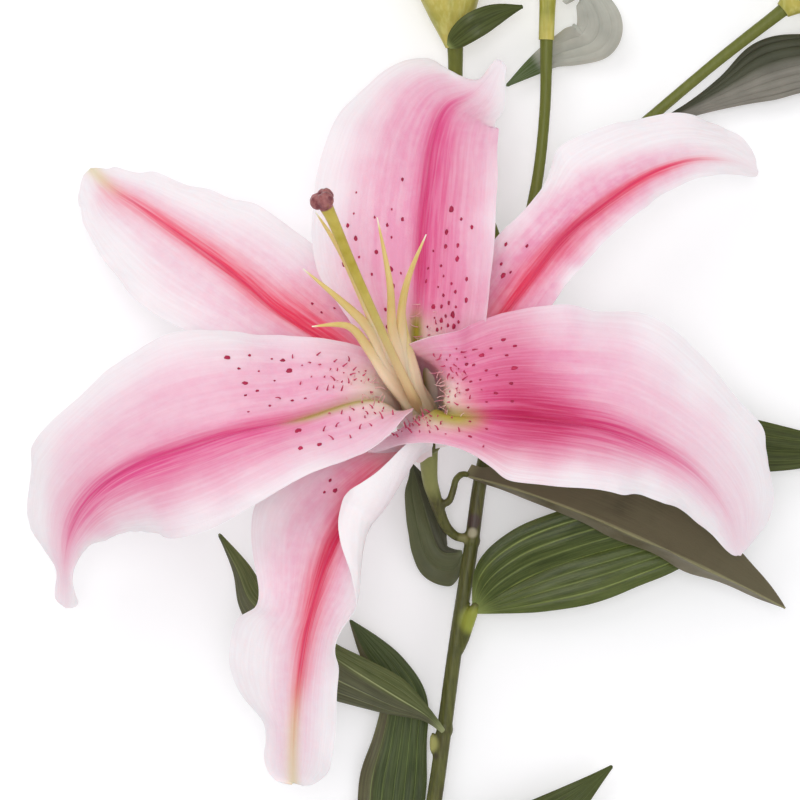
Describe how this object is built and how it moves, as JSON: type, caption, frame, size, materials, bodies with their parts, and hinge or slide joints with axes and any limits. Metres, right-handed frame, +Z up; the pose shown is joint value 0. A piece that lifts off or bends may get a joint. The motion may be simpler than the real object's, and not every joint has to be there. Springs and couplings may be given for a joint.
{
  "type": "cut lily",
  "caption": "Cut Oriental lily lying down: an open pink flower with bare filaments, closed buds and leaves on one branching stem.",
  "frame": {"origin": "on the surface the lily lies on, under the middle of its bounding box", "axes": "+Y along the stem from its cut end to the buds, +Z up from the surface, the way the open flower faces"},
  "size_m": [0.2509, 0.4312, 0.0925],
  "materials": {
    "inner_petal": "satin",
    "outer_sepal": "satin",
    "leaf": "satin",
    "pale_bract": "matte",
    "stem": "satin",
    "bud": "satin",
    "pistil": "satin",
    "filament": "satin"
  },
  "bodies": {
    "root": {"bract_first_bud": "leaf", "bract_pale": "pale_bract", "bud_1": "bud", "bud_2": "bud", "bud_3": "bud", "filament_1": "filament", "filament_2": "filament", "filament_3": "filament", "filament_4": "filament", "filament_5": "filament", "filament_6": "filament", "leaf_behind_right": "leaf", "leaf_bract_right": "leaf", "leaf_broad_right": "leaf", "leaf_curled": "leaf", "leaf_left": "leaf", "leaf_left_long": "leaf", "leaf_low_right": "leaf", "leaf_lower_1": "leaf", "leaf_lower_2": "leaf", "leaf_lower_3": "leaf", "leaf_lower_4": "leaf", "leaf_top_right": "leaf", "petal_lower_left": "inner_petal", "petal_lower_right": "inner_petal", "petal_top": "inner_petal", "pistil": "pistil", "sepal_bottom": "outer_sepal", "sepal_upper_left": "outer_sepal", "sepal_upper_right": "outer_sepal", "stem": "stem"}
  },
  "joints": []
}
